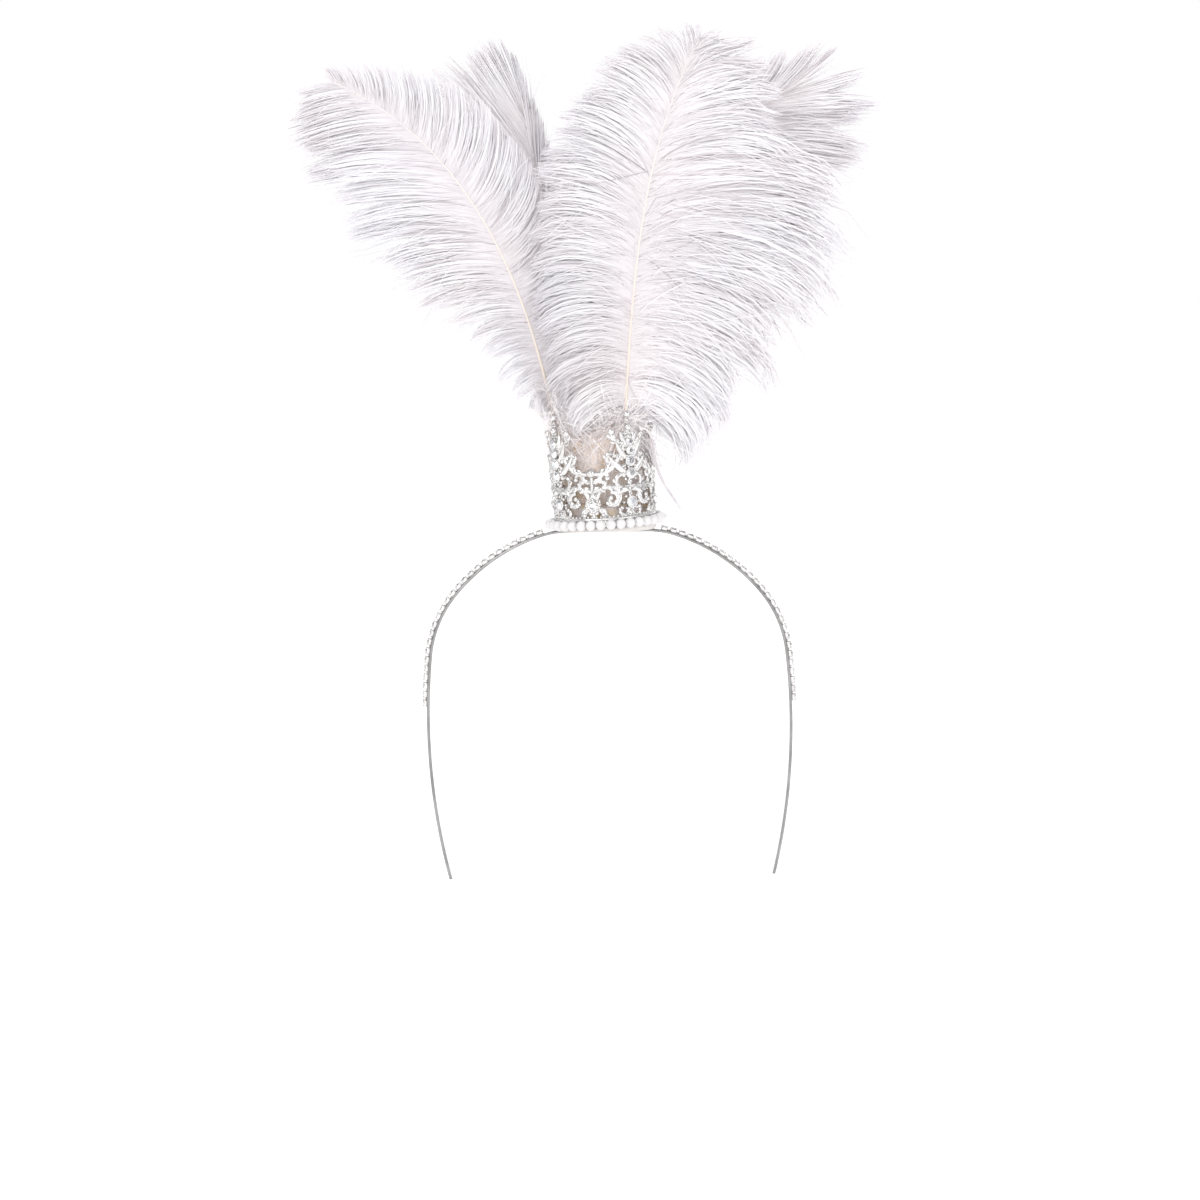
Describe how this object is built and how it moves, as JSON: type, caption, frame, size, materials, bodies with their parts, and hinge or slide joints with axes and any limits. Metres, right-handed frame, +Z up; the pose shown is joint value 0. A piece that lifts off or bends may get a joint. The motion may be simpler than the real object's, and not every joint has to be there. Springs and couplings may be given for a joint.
{
  "type": "feather headdress",
  "caption": "Slim hair hoop with a row of stones, carrying a small pierced crown ringed with pearls and tall ostrich plumes that fan out above it.",
  "frame": {"origin": "middle of the hoop's underside, where it sits on the top of the head", "axes": "+Z up through the crown, +X to the viewer's right as the front is seen, +Y to the back of the head"},
  "size_m": [0.2261, 0.0776, 0.3406],
  "materials": {
    "silver_plate": "bright silver plate on cast alloy, set with clear stones",
    "pearl": "pearl lacquer on round beads",
    "felt": "cream wool felt",
    "ostrich_feather": "bleached white ostrich barbs on cream shafts"
  },
  "bodies": {
    "root": {"headband": "silver_plate", "pad": "felt", "crown": "silver_plate", "pearl_ring": "pearl", "plume_left": "ostrich_feather", "plume_back_left": "ostrich_feather", "plume_front": "ostrich_feather", "plume_right": "ostrich_feather"}
  },
  "joints": []
}
